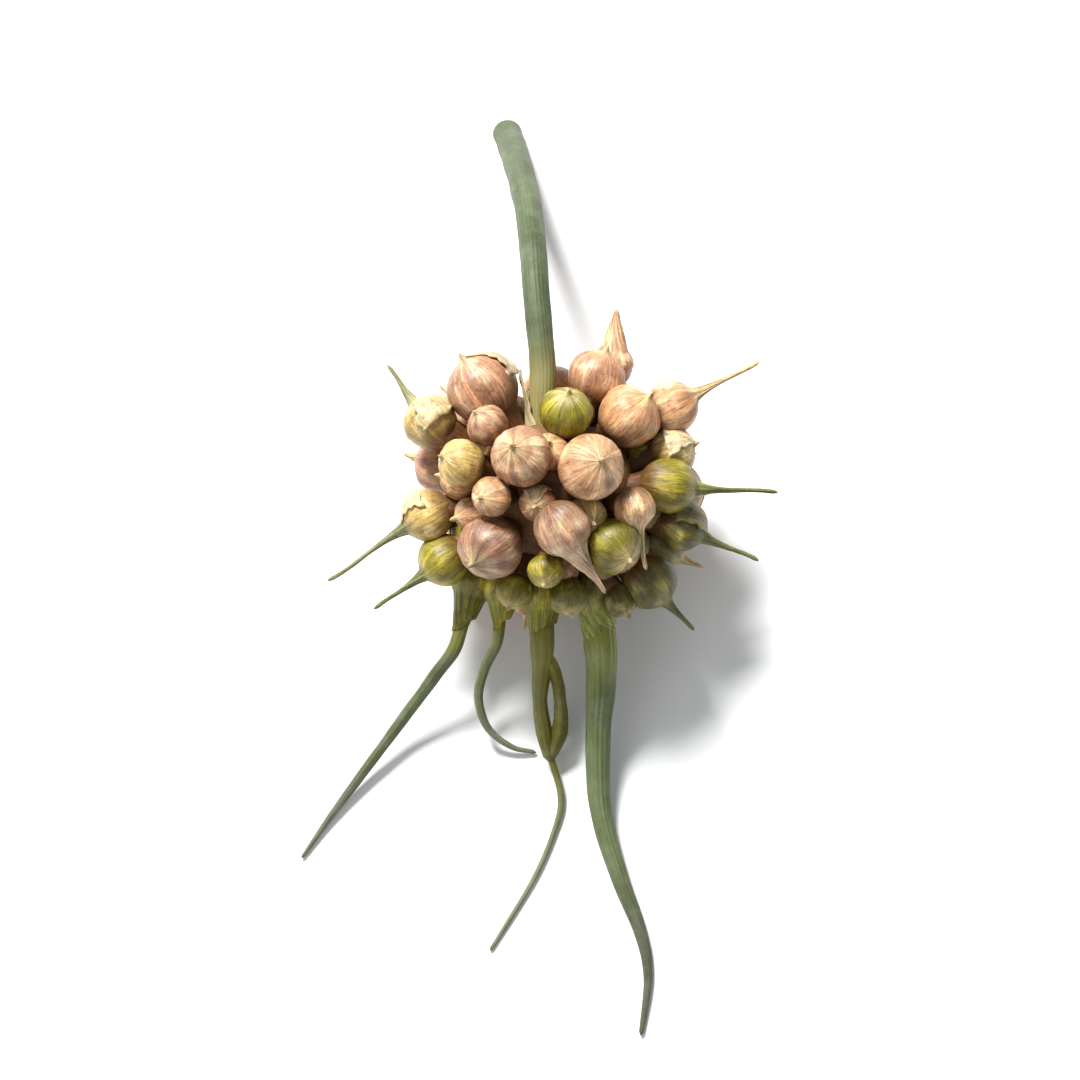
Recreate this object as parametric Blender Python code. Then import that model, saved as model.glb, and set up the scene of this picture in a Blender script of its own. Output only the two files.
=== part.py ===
"""A tree onion topset, picked with a short piece of its stalk and laid on a flat surface.

The head is a ball of small bulbs, the bulbils, which all grow from the swollen end of the stalk,
the scape. Four of the bulbils have sprouted a leaf. The scape runs towards +Y and the leaves lie
towards -Y. The origin is the flat spot under the lowest bulbil, on which the head rests.

The head is laid out in a frame of its own: across is +X, along runs up the hanging head to the
scape, and out faces the side that is seen best. That side looks up, and leans towards -Y by
FACE_LEAN. Places given as numbers are in millimetres, and everything computed is in metres.
"""

import math
import random
from collections import namedtuple

import bmesh
import bpy
from mathutils import Matrix, Vector

MM = 0.001

# Head
FACE_LEAN = math.radians(18)
SHELL = Vector((18.0, 15.6, 15.6)) * MM  # half axes of the egg on which the bulbils are centred
RIM_OUT = 3.1 * MM  # a shown bulbil past the egg's rim is centred this far out
CORE = Vector((13.0, 11.0, 11.0)) * MM  # half axes of the receptacle
FOOT_SINK = 2.0 * MM  # how far a bulbil's foot runs into the receptacle
FOOT_WIDTH = 0.45  # of the bulbil's radius
FOOT_SIDES = 7
REST_RADIUS = 4.2 * MM  # the lowest bulbil
PRESSED_FLAT = 0.45 * MM  # how far a resting bulbil is flattened
SETTLE_REACH = 2.6 * MM  # a bulbil this close over the surface settles on it
HEAD_HEIGHT = SHELL.z + REST_RADIUS - PRESSED_FLAT
SEED = 17
GOLDEN_ANGLE = math.pi * (3 - math.sqrt(5))

Spiral = namedtuple("Spiral", "count shell radius beak clear sides")

# Golden-angle spirals of stations on the egg and inside it. A station is taken where no placed
# bulbil is closer than the clear share of the two radii.
OUTER_SPIRAL = Spiral(66, 1.0, (3.5 * MM, 4.6 * MM), (1.3, 2.0), 0.74, 8)
INNER_SPIRAL = Spiral(70, 0.80, (2.3 * MM, 3.1 * MM), (1.25, 1.45), 0.72, 6)
PRESS = 0.90  # two bulbils press together until this share of their radii is between them
RELAX_ROUNDS = 60

# One bulbil: ring levels and widths in its own radii
BODY_LEVELS = (-0.85, -0.3, 0.3, 0.8)
SHOULDER_LEVEL = 1.12
BEAK_FROM = 0.6  # where the beak starts to rise out of the body
BEAK_WIDTH = 0.50
BEAK_TAPER = (1.0, 1.0)  # sharpness of the narrowing: a constant, and more for each radius of beak
BEAK_TIP = 0.28 * MM
TIP_DOME = 0.02  # rise of the two end points over their rings
BULBIL_SIDES = 8

# Gap between two solids that meet face to face
GAP = 0.3 * MM
START_STRAIGHT = 0.8 * MM  # how far a solid runs straight on from such a gap

# Scape
SCAPE_RADIUS = 1.95 * MM
SCAPE_CUT_RADIUS = 2.25 * MM
LUMEN_RADIUS = 1.2 * MM
LUMEN_END = 0.82  # share of the scape that is hollow, from its cut end
STALK_PLACE = (-1.7 * MM, 4.0 * MM)  # across and out of the stalk where it leaves the head
TUBE_STEPS = 5  # rings between two points of a route

Bulbil = namedtuple("Bulbil", "across along radius skin tip out", defaults=(None, None))

# The bulbils that show on the best side, from the top row down. tip is where a long beak ends:
# across, along and out. Those with no out of their own are centred on the egg.
SHOWN = (
    Bulbil(8.6, 18.4, 3.1, "rosy", (9.4, 26.6, 3.0), 0.5),
    Bulbil(6.2, 16.6, 4.1, "rosy"),
    Bulbil(-10.3, 15.0, 5.2, "rosy"),
    Bulbil(17.3, 12.3, 3.8, "tan", (30.0, 19.2, 3.0)),
    Bulbil(1.7, 11.2, 3.8, "olive"),
    Bulbil(-18.0, 10.0, 3.9, "straw", (-24.9, 18.2, 2.0)),
    Bulbil(-9.5, 9.4, 3.0, "rosy"),
    Bulbil(10.9, 10.8, 4.5, "tan"),
    Bulbil(17.3, 5.8, 3.5, "straw"),
    Bulbil(-13.3, 4.0, 3.5, "straw"),
    Bulbil(-4.6, 4.8, 4.4, "rosy"),
    Bulbil(5.2, 3.2, 4.8, "tan"),
    Bulbil(16.5, 0.8, 4.1, "olive", (32.8, -0.9, 3.0)),
    Bulbil(-8.9, -0.9, 2.9, "tan"),
    Bulbil(-18.4, -3.5, 3.8, "straw", (-33.6, -12.2, 3.0)),
    Bulbil(11.6, -2.4, 3.0, "tan", (13.8, -11.4, 11.5)),
    Bulbil(1.1, -5.4, 4.0, "rosy", (7.0, -15.2, 12.0)),
    Bulbil(18.6, -5.0, 3.7, "olive", (29.8, -10.8, 2.0)),
    Bulbil(-9.1, -8.2, 4.7, "rosy"),
    Bulbil(8.6, -8.0, 4.1, "olive"),
    Bulbil(-16.0, -10.0, 3.8, "olive", (-26.2, -17.6, 2.0)),
    Bulbil(-1.2, -11.6, 2.6, "olive"),
    Bulbil(13.9, -13.2, 4.0, "olive", (20.4, -20.6, 1.0)),
    Bulbil(-5.6, -14.6, 2.7, "olive", out=6.4),
    Bulbil(2.2, -15.4, 2.8, "olive", out=6.2),
    Bulbil(9.6, -16.0, 2.6, "olive", out=3.6),
)

Leaf = namedtuple("Leaf", "bulbil route radii branch", defaults=(None,))

# Sprouted leaves: the bulbil that each grows from (across, along, out and radius), its route
# (x, y and height) and its radius at each point of the route. The branch is a second strand.
LEAVES = {
    "leaf_broad": Leaf(
        (6.2, -14.6, 0.5, 3.7),
        ((6.9, -22.0, 13.4), (7.0, -26.6, 9.8), (6.6, -33.3, 5.6), (6.9, -43.7, 2.5),
         (9.6, -53.6, 1.6), (12.7, -62.0, 1.1), (13.8, -68.7, 0.75), (12.8, -76.9, 0.5)),
        (2.4, 2.15, 1.85, 1.6, 1.3, 0.95, 0.65, 0.35),
    ),
    "leaf_sheathed": Leaf(
        (-1.6, -14.6, 1.0, 3.4),
        ((-1.7, -21.4, 12.6), (-1.7, -24.2, 10.2), (-2.0, -28.4, 7.2), (-1.4, -32.5, 4.6),
         (-0.5, -35.6, 2.4), (1.1, -41.5, 1.0), (0.2, -46.5, 0.6), (-3.0, -54.1, 0.5),
         (-9.1, -64.4, 0.4)),
        (1.8, 1.5, 1.05, 0.95, 0.85, 0.5, 0.42, 0.38, 0.28),
        ((-1.2, -22.8, 11.6), (0.3, -25.2, 9.6), (1.0, -28.6, 7.2), (0.9, -32.6, 4.6),
         (-0.5, -35.9, 2.3)),
    ),
    "leaf_curled": Leaf(
        (-7.2, -14.4, 1.0, 3.0),
        ((-8.2, -20.6, 13.0), (-10.1, -24.0, 9.4), (-11.1, -27.9, 6.4), (-9.7, -31.7, 3.4),
         (-6.3, -34.0, 1.4), (-3.0, -34.6, 0.55)),
        (0.95, 0.85, 0.75, 0.65, 0.5, 0.35),
    ),
    "leaf_left": Leaf(
        (-11.6, -13.0, -2.0, 3.4),
        ((-14.2, -20.6, 11.4), (-17.6, -25.0, 8.0), (-22.4, -30.7, 4.4), (-29.0, -39.2, 1.8),
         (-33.3, -45.0, 0.9), (-37.0, -50.5, 0.5)),
        (1.2, 1.1, 1.0, 0.8, 0.55, 0.3),
    ),
}
BRANCH_RADII = (1.0, 0.95, 0.85, 0.8, 0.6)

# The stalk inside the head (across, along and out), and the piece that was cut with it (x, y and
# height).
NECK_ROUTE = ((-1.6, 3.0, 0.0), (-1.9, 8.0, 2.0), (-1.7, 13.0, 3.6), (-1.6, 18.0, 4.2))
SCAPE_ROUTE = ((-2.5, 26.0, 30.8), (-3.0, 34.0, 29.0), (-3.7, 43.0, 23.4), (-4.9, 52.0, 15.0),
               (-6.2, 60.0, 6.4), (-7.1, 64.6, 1.75))

SKINS = {  # base colour and roughness
    "bulbil_head": ((0.55, 0.36, 0.22), 0.42),
    "scape": ((0.20, 0.30, 0.12), 0.50),
    "leaf_broad": ((0.16, 0.26, 0.07), 0.48),
    "leaf_sheathed": ((0.26, 0.33, 0.09), 0.48),
    "leaf_curled": ((0.20, 0.29, 0.09), 0.50),
    "leaf_left": ((0.20, 0.29, 0.09), 0.50),
}


def clear_scene():
    """Leave an empty scene, and return the collections of the parts and of the cutters."""
    for old in list(bpy.data.objects):
        bpy.data.objects.remove(old, do_unlink=True)
    made = []
    for name in ("tree_onion_topset", "cutters"):
        collection = bpy.data.collections.new(name)
        bpy.context.scene.collection.children.link(collection)
        made.append(collection)
    return made


def material(name):
    """The skin of one node."""
    colour, roughness = SKINS[name]
    made = bpy.data.materials.new(name)
    made.use_nodes = True
    shader = made.node_tree.nodes["Principled BSDF"]
    shader.inputs["Base Color"].default_value = (*colour, 1.0)
    shader.inputs["Roughness"].default_value = roughness
    shader.inputs["Metallic"].default_value = 0.0
    return made


# Places in the head


def face_axes():
    """The head's across, along and out axes in the world."""
    return (
        Vector((1, 0, 0)),
        Vector((0, math.cos(FACE_LEAN), math.sin(FACE_LEAN))),
        Vector((0, -math.sin(FACE_LEAN), math.cos(FACE_LEAN))),
    )


def in_world(place):
    """World place of a point in the head's own frame."""
    x, y, z = face_axes()
    return Vector((0, 0, HEAD_HEIGHT)) + x * place.x + y * place.y + z * place.z


def egg_share(place, egg=SHELL):
    """How far out a point lies from the centre of an egg, as a share of the way to its skin."""
    return math.sqrt(sum((place[i] / egg[i]) ** 2 for i in range(3)))


class Placed:
    """A bulbil in its place in the head's own frame."""

    def __init__(self, place, radius, beak=1.25, tip=None, leaf=None, skin=None, sides=BULBIL_SIDES):
        self.place = place
        self.radius = radius
        self.beak = beak
        self.tip = tip
        self.leaf = leaf
        self.skin = skin
        self.sides = sides

    def gap_share(self, place, radius):
        """Distance to another bulbil, as a share of the two radii."""
        return (self.place - place).length / (self.radius + radius)


def shown_bulbils():
    """The bulbils on the side that is seen best, set on the egg."""
    placed = []
    for item in SHOWN:
        place = Vector((item.across, item.along, 0)) * MM
        left = 1 - egg_share(place) ** 2
        place.z = max(RIM_OUT, SHELL.z * math.sqrt(max(0.0, left)))
        if item.out is not None:
            place.z = item.out * MM
        tip = Vector(item.tip) * MM if item.tip else None
        placed.append(Placed(place, item.radius * MM, tip=tip, skin=item.skin))
    return placed


def sprouted_bulbils():
    """The bulbils that have a leaf."""
    placed = []
    for leaf in LEAVES.values():
        place = Vector(leaf.bulbil[:3]) * MM
        placed.append(Placed(place, leaf.bulbil[3] * MM, leaf=leaf, skin="olive"))
    return placed


def resting_bulbil():
    """The lowest bulbil, straight under the head's centre."""
    down = Vector((0, -math.sin(FACE_LEAN), -math.cos(FACE_LEAN)))
    return Placed(down * SHELL.z, REST_RADIUS, beak=1.1, skin="tan")


def spiral_bulbils(spiral, taken, rng):
    """Bulbils on the free stations of a spiral."""
    placed = []
    for k in range(spiral.count):
        height = 1 - 2 * (k + 0.5) / spiral.count
        ring = math.sqrt(1 - height * height)
        turn = k * GOLDEN_ANGLE
        place = Vector((ring * math.cos(turn), height, ring * math.sin(turn)))
        place *= spiral.shell / egg_share(place)
        radius = rng.uniform(*spiral.radius)
        beak = rng.uniform(*spiral.beak)
        skin = rng.choice(("rosy", "tan", "tan", "straw", "olive"))
        from_stalk = math.hypot(place.x - STALK_PLACE[0], place.z - STALK_PLACE[1])
        on_stalk = place.y > 0 and from_stalk < radius + SCAPE_RADIUS
        free = all(other.gap_share(place, radius) > spiral.clear for other in taken + placed)
        if free and not on_stalk:
            placed.append(Placed(place, radius, beak, skin=skin, sides=spiral.sides))
    return placed


def press_apart(moving, fixed):
    """Push the moving bulbils over the egg until they only press on their neighbours."""
    for _ in range(RELAX_ROUNDS):
        for one in moving:
            push = Vector()
            for other in fixed + moving:
                away = one.place - other.place
                short = PRESS * (one.radius + other.radius) - away.length
                if other is not one and short > 0:
                    push += away.normalized() * short * 0.5
            one.place = one.place + push
            one.place /= egg_share(one.place)


def all_bulbils():
    """Every bulbil of the head."""
    rng = random.Random(SEED)
    fixed = shown_bulbils() + sprouted_bulbils() + [resting_bulbil()]
    outer = spiral_bulbils(OUTER_SPIRAL, fixed, rng)
    press_apart(outer, fixed)
    return fixed + outer + spiral_bulbils(INNER_SPIRAL, fixed + outer, rng)


# One bulbil


def bulbil_width(level, beak, tip):
    """Radius of a bulbil at a level of its axis; all in units of its own radius."""
    body = math.sqrt(max(0.0, 1 - level * level))
    if level <= 0:
        return body
    left = min(1.0, (beak - level) / (beak - BEAK_FROM))
    sharpness = BEAK_TAPER[0] + BEAK_TAPER[1] * beak
    spine = tip + (BEAK_WIDTH - tip) * max(0.0, left) ** sharpness
    return (body**3 + spine**3) ** (1 / 3)


def bulbil_levels(beak):
    """The levels at which a bulbil has a ring, up to the tip of its beak."""
    levels = list(BODY_LEVELS)
    if beak > SHOULDER_LEVEL + 0.15:
        levels.append(SHOULDER_LEVEL)
    if beak > 2:
        levels.append((beak + SHOULDER_LEVEL) / 2)
    levels.append(beak)
    return levels


def bulbil_shape(radius, beak, tip, sides):
    """A ball drawn out into a beak along +Z."""
    levels = bulbil_levels(beak)
    last = len(levels) - 1
    ball = bmesh.new()
    bmesh.ops.create_uvsphere(ball, u_segments=sides, v_segments=last + 2, radius=1)
    for vert in ball.verts:
        angle = math.acos(max(-1.0, min(1.0, -vert.co.z)))
        ring = round(angle / math.pi * (last + 2)) - 1
        flat = Vector((vert.co.x, vert.co.y, 0))
        if ring < 0:
            vert.co = Vector((0, 0, -radius))
        elif ring > last:
            vert.co = Vector((0, 0, levels[last] + TIP_DOME)) * radius
        else:
            width = bulbil_width(levels[ring], beak, tip / radius)
            vert.co = (flat.normalized() * width + Vector((0, 0, levels[ring]))) * radius
    return ball


def bulbil_pose(bulbil):
    """Centre, heading, beak length in radii, and tip radius of a bulbil in the world."""
    centre = in_world(bulbil.place)
    heading = (centre - Vector((0, 0, HEAD_HEIGHT))).normalized()
    beak, tip = bulbil.beak, BEAK_TIP
    low = centre.z - bulbil.radius
    if bulbil.leaf:
        start = Vector(bulbil.leaf.route[0]) * MM
        reach = (start - centre).length - START_STRAIGHT - GAP
        heading = (start - centre).normalized()
        beak = reach / bulbil.radius - TIP_DOME
        tip = bulbil.leaf.radii[0] * MM
    elif bulbil.tip:
        reach = in_world(bulbil.tip) - centre
        heading = reach.normalized()
        beak = reach.length / bulbil.radius
    elif low < SETTLE_REACH and heading.z < -0.5:
        centre.z -= low + PRESSED_FLAT
        beak = min(beak, 1.15)
    return centre, heading, beak, tip


def add_shape(name, shape, collection):
    """A mesh object of a bmesh, which is then freed."""
    mesh = bpy.data.meshes.new(name)
    shape.to_mesh(mesh)
    shape.free()
    made = bpy.data.objects.new(name, mesh)
    collection.objects.link(made)
    return made


def add_bulbil(number, bulbil, collection):
    """One bulbil in its place, and the foot that it grows from the receptacle on."""
    centre, heading, beak, tip = bulbil_pose(bulbil)
    ball = bulbil_shape(bulbil.radius, beak, tip, bulbil.sides)
    turn = heading.to_track_quat("Z", "Y")
    for vert in ball.verts:
        vert.co = centre + turn @ vert.co
    add_shape(f"bulbil_{number:02d}", ball, collection)

    inward = Vector((0, 0, HEAD_HEIGHT)) - centre
    reach = inward.length * (1 - 1 / egg_share(bulbil.place, CORE)) + FOOT_SINK
    foot = bmesh.new()
    width = bulbil.radius * FOOT_WIDTH
    bmesh.ops.create_cone(foot, cap_ends=True, segments=FOOT_SIDES, radius1=width, radius2=width,
                          depth=reach)
    turn = inward.to_track_quat("Z", "Y")
    for vert in foot.verts:
        vert.co = centre + turn @ (vert.co + Vector((0, 0, reach / 2)))
    add_shape(f"foot_{number:02d}", foot, collection)


# Routes and tubes


def smooth_route(points, radii, heading=None):
    """Points and radii read from a smooth curve through the route's own points.

    A heading makes the route set off straight that way for START_STRAIGHT.
    """
    places = [Vector(p) for p in points]
    ends = [places[0] * 2 - places[1], *places, places[-1] * 2 - places[-2]]
    route = []
    if heading:
        reach = (places[1] - places[0]).length
        ends[0] = places[1] - heading * 2 * reach
        route.append((places[0] - heading * START_STRAIGHT, radii[0]))
    for i in range(len(places) - 1):
        a, b, c, d = ends[i : i + 4]
        for step in range(TUBE_STEPS):
            t = step / TUBE_STEPS
            bend = (2 * a - 5 * b + 4 * c - d) * t**2 + (3 * b - a - 3 * c + d) * t**3
            point = 0.5 * (2 * b + (c - a) * t + bend)
            route.append((point, radii[i] + (radii[i + 1] - radii[i]) * t))
    route.append((places[-1], radii[-1]))
    return route


def add_tube(name, route, collection, resolution=2):
    """A round tube with closed ends along a route of (point, radius), as a mesh object."""
    data = bpy.data.curves.new(name, "CURVE")
    data.dimensions = "3D"
    data.bevel_depth = 1.0
    data.bevel_resolution = resolution
    data.use_fill_caps = True
    spline = data.splines.new("POLY")
    spline.points.add(len(route) - 1)
    for point, (place, radius) in zip(spline.points, route):
        point.co = (*place, 1)
        point.radius = radius
    curve = bpy.data.objects.new(name + "_curve", data)
    collection.objects.link(curve)
    graph = bpy.context.evaluated_depsgraph_get()
    mesh = bpy.data.meshes.new_from_object(curve.evaluated_get(graph))
    shape = bmesh.new()
    shape.from_mesh(mesh)
    bmesh.ops.remove_doubles(shape, verts=shape.verts, dist=0.001 * MM)
    bmesh.ops.recalc_face_normals(shape, faces=shape.faces)
    shape.to_mesh(mesh)
    shape.free()
    bpy.data.objects.remove(curve)
    bpy.data.curves.remove(data)
    made = bpy.data.objects.new(name, mesh)
    collection.objects.link(made)
    return made


def apply_boolean(target, operation, solver="EXACT", **operand):
    """Cut or join the target with an object or a collection, and keep the result as its mesh."""
    change = target.modifiers.new(operation.lower(), "BOOLEAN")
    change.operation = operation
    change.solver = solver
    for key, value in operand.items():
        setattr(change, key, value)
    graph = bpy.context.evaluated_depsgraph_get()
    mesh = bpy.data.meshes.new_from_object(target.evaluated_get(graph))
    target.modifiers.clear()
    target.data = mesh


def fill_pockets(made):
    """Delete the skins of the closed pockets that are left between solids, which fills them."""
    shape = bmesh.new()
    shape.from_mesh(made.data)
    unseen = set(shape.verts)
    skins = []
    while unseen:
        edge = [unseen.pop()]
        skin = set(edge)
        while edge:
            for link in edge.pop().link_edges:
                for vert in link.verts:
                    if vert in unseen:
                        unseen.remove(vert)
                        skin.add(vert)
                        edge.append(vert)
        skins.append(skin)
    outer = max(skins, key=len)
    pockets = [vert for skin in skins if skin is not outer for vert in skin]
    bmesh.ops.delete(shape, geom=pockets, context="VERTS")
    shape.to_mesh(made.data)
    shape.free()


def finish_node(made, name):
    """Give a node its name, its material and smooth shading."""
    made.name = name
    made.data.name = name
    made.data.materials.clear()
    made.data.materials.append(material(name))
    made.data.shade_smooth()
    made.data.set_sharp_from_angle(angle=math.radians(50))


# Nodes


def add_core(collection):
    """The receptacle: the swollen end of the stalk, which the bulbils grow from."""
    ball = bmesh.new()
    bmesh.ops.create_uvsphere(ball, u_segments=16, v_segments=10, radius=1)
    for vert in ball.verts:
        vert.co = in_world(vert.co * CORE)
    return add_shape("receptacle", ball, collection)


def scape_start():
    """The first point of the scape's route, and the direction in which it sets off."""
    start = Vector(SCAPE_ROUTE[0]) * MM
    return start, (Vector(SCAPE_ROUTE[1]) * MM - start).normalized()


def neck_route():
    """The stalk from inside the receptacle to the face where the free scape starts."""
    start, heading = scape_start()
    points = [in_world(Vector(point) * MM) for point in NECK_ROUTE]
    face = start - heading * (START_STRAIGHT + GAP)
    points.append(face - heading * START_STRAIGHT)
    route = smooth_route(points, [SCAPE_RADIUS] * len(points))
    return [*route, (face, SCAPE_RADIUS)]


def build_head(parts, cutters):
    """All the bulbils, joined to the receptacle and pressed flat where they rest."""
    head = add_core(parts)
    for number, bulbil in enumerate(all_bulbils(), start=1):
        add_bulbil(number, bulbil, cutters)
    add_tube("neck", neck_route(), cutters)
    apply_boolean(head, "UNION", operand_type="COLLECTION", collection=cutters)
    for used in list(cutters.objects):
        bpy.data.objects.remove(used)
    fill_pockets(head)
    bpy.ops.mesh.primitive_cube_add(size=1)
    surface = bpy.context.active_object
    surface.data.transform(Matrix.Diagonal((0.2, 0.2, 0.02, 1)))
    surface.data.transform(Matrix.Translation((0, 0, -0.01)))
    apply_boolean(head, "DIFFERENCE", operand_type="OBJECT", object=surface)
    bpy.data.objects.remove(surface)
    finish_node(head, "bulbil_head")


def build_scape(parts, cutters):
    """The cut stalk: a tapering tube, hollow from its cut end."""
    points = [Vector(point) * MM for point in SCAPE_ROUTE]
    last = len(points) - 1
    radii = [SCAPE_RADIUS + (SCAPE_CUT_RADIUS - SCAPE_RADIUS) * i / last for i in range(last + 1)]
    route = smooth_route(points, radii, scape_start()[1])
    scape = add_tube("scape", route, parts, resolution=3)
    hollow = route[round(len(route) * (1 - LUMEN_END)) :]
    beyond = hollow[-1][0] * 2 - hollow[-2][0]
    lumen_route = [(place, LUMEN_RADIUS) for place, _ in hollow] + [(beyond, LUMEN_RADIUS)]
    lumen = add_tube("lumen", lumen_route, cutters, resolution=1)
    apply_boolean(scape, "DIFFERENCE", operand_type="OBJECT", object=lumen)
    bpy.data.objects.remove(lumen)
    finish_node(scape, "scape")


def build_leaf(name, leaf, parts, cutters):
    """One sprouted leaf, tapering from its bulbil's mouth to a fine tip on the surface."""
    points = [Vector(point) * MM for point in leaf.route]
    radii = [radius * MM for radius in leaf.radii]
    heading = (points[0] - in_world(Vector(leaf.bulbil[:3]) * MM)).normalized()
    made = add_tube(name, smooth_route(points, radii, heading), parts)
    if leaf.branch:
        strand = smooth_route([Vector(point) * MM for point in leaf.branch],
                              [radius * MM for radius in BRANCH_RADII])
        branch = add_tube("branch", strand, cutters)
        apply_boolean(made, "UNION", operand_type="OBJECT", object=branch)
        bpy.data.objects.remove(branch)
    finish_node(made, name)


def build():
    parts, cutters = clear_scene()
    build_head(parts, cutters)
    build_scape(parts, cutters)
    for name, leaf in LEAVES.items():
        build_leaf(name, leaf, parts, cutters)


build()
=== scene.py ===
"""Looks of a picked tree onion topset, laid on a pale surface.

The head is laid out by the same rules as the CAD model: across is +X, along runs up the hanging
head to the stalk, and out faces the side that is seen best, which looks up and leans towards -Y.
Places given as numbers are in millimetres, and everything computed is in metres.
"""

import math
import random
from collections import namedtuple

import bpy
import numpy as np
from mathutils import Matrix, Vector, noise


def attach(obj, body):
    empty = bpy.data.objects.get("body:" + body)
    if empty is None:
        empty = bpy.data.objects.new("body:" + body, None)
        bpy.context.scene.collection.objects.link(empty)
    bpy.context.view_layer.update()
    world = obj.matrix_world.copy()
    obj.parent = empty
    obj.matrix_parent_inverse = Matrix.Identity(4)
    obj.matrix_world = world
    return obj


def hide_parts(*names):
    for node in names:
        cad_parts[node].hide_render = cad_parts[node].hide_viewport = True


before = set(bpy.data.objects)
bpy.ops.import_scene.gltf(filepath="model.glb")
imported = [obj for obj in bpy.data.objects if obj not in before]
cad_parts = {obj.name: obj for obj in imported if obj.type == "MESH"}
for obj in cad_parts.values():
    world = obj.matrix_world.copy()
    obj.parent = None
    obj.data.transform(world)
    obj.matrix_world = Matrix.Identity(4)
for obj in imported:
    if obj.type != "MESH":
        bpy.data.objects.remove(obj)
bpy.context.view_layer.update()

MM = 0.001

# Head layout, as in the CAD model
FACE_LEAN = math.radians(18)
SHELL = Vector((18.0, 15.6, 15.6)) * MM  # half axes of the egg on which the bulbils are centred
RIM_OUT = 3.1 * MM  # a shown bulbil past the egg's rim is centred this far out
CORE = Vector((13.0, 11.0, 11.0)) * MM  # half axes of the receptacle
CORE_GRID = (40, 60)  # rows and sides
CORE_BUMP = 0.06
FOOT_SINK = 2.0 * MM  # how far a bulbil's foot runs into the receptacle
FOOT_WIDTH = 0.45  # of the bulbil's radius
FOOT_FLARE = 0.22  # and this much more where it leaves the bulbil
FOOT_FROM = 0.6  # how far from the bulbil's centre it starts, in radii
FOOT_RINGS = 7
FOOT_SIDES = 12
FOOT_RIBS = 5
FOOT_RIB = 0.08  # depth of the ribs, in radii
REST_RADIUS = 4.2 * MM  # the lowest bulbil
PRESSED_FLAT = 0.45 * MM  # how far a resting bulbil is flattened
SETTLE_REACH = 2.6 * MM  # a bulbil this close over the surface settles on it
HEAD_HEIGHT = SHELL.z + REST_RADIUS - PRESSED_FLAT
SEED = 17
GOLDEN_ANGLE = math.pi * (3 - math.sqrt(5))

Spiral = namedtuple("Spiral", "count shell radius beak clear")

# Golden-angle spirals of stations on the egg and inside it. A station is taken where no placed
# bulbil is closer than the clear share of the two radii.
OUTER_SPIRAL = Spiral(66, 1.0, (3.5 * MM, 4.6 * MM), (1.3, 2.0), 0.74)
INNER_SPIRAL = Spiral(70, 0.80, (2.3 * MM, 3.1 * MM), (1.25, 1.45), 0.72)
PRESS = 0.90  # two bulbils press together until this share of their radii is between them
RELAX_ROUNDS = 60
SKIN_DRAW = ("rosy", "tan", "tan", "straw", "olive")  # the skins of the bulbils on the spirals

# Beaks. Levels and widths are in the bulbil's own radii, and a length runs from its centre.
SHORT_BEAK = 1.25
REST_BEAK = 1.1  # of the lowest bulbil
SETTLED_BEAK = 1.15  # the longest on a bulbil that settles on the surface
SETTLED_HEADING = -0.5  # the upward part of its heading is less than this
BEAK_FROM = 0.6  # where the beak starts to rise out of the body
BEAK_WIDTH = 0.50
BEAK_TAPER = (1.0, 1.0)  # sharpness of the narrowing: a constant, and more for each radius of beak
BEAK_TIP = 0.28 * MM

# Gap between two solids that meet face to face
GAP = 0.3 * MM
START_STRAIGHT = 0.8 * MM  # how far a solid runs straight on from such a gap

# Scape
SCAPE_RADIUS = 1.95 * MM
SCAPE_CUT_RADIUS = 2.25 * MM
LUMEN_RADIUS = 1.2 * MM
STALK_PLACE = (-1.7 * MM, 4.0 * MM)  # across and out of the stalk where it leaves the head

Bulbil = namedtuple("Bulbil", "across along radius skin tip out", defaults=(None, None))

# The bulbils that show on the best side, from the top row down. tip is where a long beak ends:
# across, along and out. Those with no out of their own are centred on the egg.
SHOWN = (
    Bulbil(8.6, 18.4, 3.1, "rosy", (9.4, 26.6, 3.0), 0.5),
    Bulbil(6.2, 16.6, 4.1, "rosy"),
    Bulbil(-10.3, 15.0, 5.2, "rosy"),
    Bulbil(17.3, 12.3, 3.8, "tan", (30.0, 19.2, 3.0)),
    Bulbil(1.7, 11.2, 3.8, "olive"),
    Bulbil(-18.0, 10.0, 3.9, "straw", (-24.9, 18.2, 2.0)),
    Bulbil(-9.5, 9.4, 3.0, "rosy"),
    Bulbil(10.9, 10.8, 4.5, "tan"),
    Bulbil(17.3, 5.8, 3.5, "straw"),
    Bulbil(-13.3, 4.0, 3.5, "straw"),
    Bulbil(-4.6, 4.8, 4.4, "rosy"),
    Bulbil(5.2, 3.2, 4.8, "tan"),
    Bulbil(16.5, 0.8, 4.1, "olive", (32.8, -0.9, 3.0)),
    Bulbil(-8.9, -0.9, 2.9, "tan"),
    Bulbil(-18.4, -3.5, 3.8, "straw", (-33.6, -12.2, 3.0)),
    Bulbil(11.6, -2.4, 3.0, "tan", (13.8, -11.4, 11.5)),
    Bulbil(1.1, -5.4, 4.0, "rosy", (7.0, -15.2, 12.0)),
    Bulbil(18.6, -5.0, 3.7, "olive", (29.8, -10.8, 2.0)),
    Bulbil(-9.1, -8.2, 4.7, "rosy"),
    Bulbil(8.6, -8.0, 4.1, "olive"),
    Bulbil(-16.0, -10.0, 3.8, "olive", (-26.2, -17.6, 2.0)),
    Bulbil(-1.2, -11.6, 2.6, "olive"),
    Bulbil(13.9, -13.2, 4.0, "olive", (20.4, -20.6, 1.0)),
    Bulbil(-5.6, -14.6, 2.7, "olive", out=6.4),
    Bulbil(2.2, -15.4, 2.8, "olive", out=6.2),
    Bulbil(9.6, -16.0, 2.6, "olive", out=3.6),
)

Leaf = namedtuple("Leaf", "bulbil route radii branch", defaults=(None,))

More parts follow.
